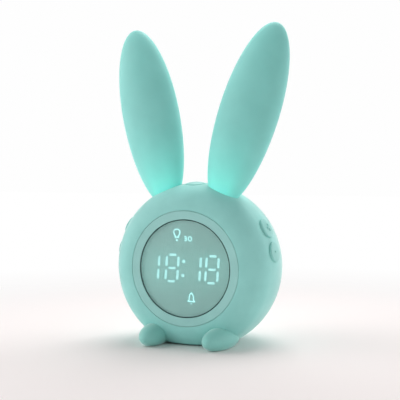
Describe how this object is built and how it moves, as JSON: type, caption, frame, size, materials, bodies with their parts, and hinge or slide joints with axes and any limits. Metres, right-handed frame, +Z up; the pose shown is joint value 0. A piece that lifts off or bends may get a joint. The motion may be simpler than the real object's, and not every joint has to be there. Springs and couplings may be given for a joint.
{
  "type": "bedside alarm clock with night light",
  "caption": "Round bedside alarm clock with a flat round lit display, a pair of tall glowing ears, push buttons at its sides and top, and stub feet.",
  "frame": {"origin": "on the table plane, under the centre of the ball-shaped casing", "axes": "+Z up, -Y out of the display, +X to the right of someone facing the display"},
  "size_m": [0.1172, 0.0828, 0.2013],
  "materials": {
    "mint_shell": "soft-touch matte coat on moulded ABS",
    "mint_silicone": "milky translucent matte silicone, lit from its root",
    "mint_feet": "soft-touch matte coat on moulded ABS",
    "bezel": "fine satin on moulded ABS",
    "lens": "tinted translucent acrylic, satin face",
    "film": "printed polyester film",
    "window": "milky translucent ink, lit from behind, emissive",
    "mint_keys": "moulded ABS with raised symbols",
    "pad": "matte anti-slip silicone",
    "white_plastic": "moulded white ABS",
    "black_plastic": "moulded black plastic",
    "circuit_board": "green solder mask on glass laminate",
    "led": "moulded diode body",
    "screw": "zinc-plated steel",
    "pouch": "foil-laminate pouch",
    "steel": "pressed steel",
    "paper": "pressed paper pulp",
    "foam": "closed-cell foam",
    "magnet": "ferrite magnet",
    "wire": "insulated stranded wire"
  },
  "bodies": {
    "casing": {"front_shell": "mint_shell", "rear_shell": "mint_shell", "bezel_ring": "bezel", "display_lens": "lens", "mask_film": "film", "window_inserts": "window", "light_wells": "white_plastic", "display_leds": "led", "display_board": "circuit_board", "display_screws": "screw", "right_ear": "mint_silicone", "left_ear": "mint_silicone", "right_ear_cup": "white_plastic", "left_ear_cup": "white_plastic", "right_ear_board": "circuit_board", "left_ear_board": "circuit_board", "ear_leds": "led", "ear_screws": "screw", "right_foot": "mint_feet", "left_foot": "mint_feet", "foot_screws": "screw", "base_pad": "pad", "tact_switches": "steel", "right_key_board": "circuit_board", "left_key_board": "circuit_board", "snooze_board": "circuit_board", "key_screws": "screw", "main_board": "circuit_board", "main_chips": "black_plastic", "lead_sockets": "white_plastic", "battery_tray": "black_plastic", "battery_cell": "pouch", "board_screws": "screw", "speaker_gasket": "foam", "speaker_frame": "steel", "speaker_cone": "paper", "speaker_magnet": "magnet", "speaker_clamp": "black_plastic", "speaker_screws": "screw", "usb_socket": "steel", "usb_board": "circuit_board", "usb_screws": "screw", "case_screws": "screw", "board_header": "black_plastic", "battery_leads": "wire", "speaker_leads": "wire", "usb_leads": "wire", "ear_leads": "wire", "key_leads": "wire"},
    "plus_key": {"plus_button": "mint_keys", "plus_plunger": "black_plastic"},
    "minus_key": {"minus_button": "mint_keys", "minus_plunger": "black_plastic"},
    "alarm_key": {"alarm_button": "mint_keys", "alarm_plunger": "black_plastic"},
    "set_key": {"set_button": "mint_keys", "set_plunger": "black_plastic"},
    "snooze_key": {"snooze_button": "mint_keys", "snooze_plunger": "black_plastic"}
  },
  "joints": [
    {"name": "plus_press", "type": "slide", "parent": "casing", "child": "plus_key", "axis": [-0.9383, 0.0698, -0.3387], "range_m": [0, 0.0008], "stiffness_N_per_m": 900, "springref_m": -0.0006},
    {"name": "minus_press", "type": "slide", "parent": "casing", "child": "minus_key", "axis": [-0.9383, 0.0698, -0.3387], "range_m": [0, 0.0008], "stiffness_N_per_m": 900, "springref_m": -0.0006},
    {"name": "alarm_press", "type": "slide", "parent": "casing", "child": "alarm_key", "axis": [0.9383, 0.0698, -0.3387], "range_m": [0, 0.0008], "stiffness_N_per_m": 900, "springref_m": -0.0006},
    {"name": "set_press", "type": "slide", "parent": "casing", "child": "set_key", "axis": [0.9383, 0.0698, -0.3387], "range_m": [0, 0.0008], "stiffness_N_per_m": 900, "springref_m": -0.0006},
    {"name": "snooze_press", "type": "slide", "parent": "casing", "child": "snooze_key", "axis": [0, 0.1219, -0.9925], "range_m": [0, 0.0008], "stiffness_N_per_m": 900, "springref_m": -0.0006}
  ]
}
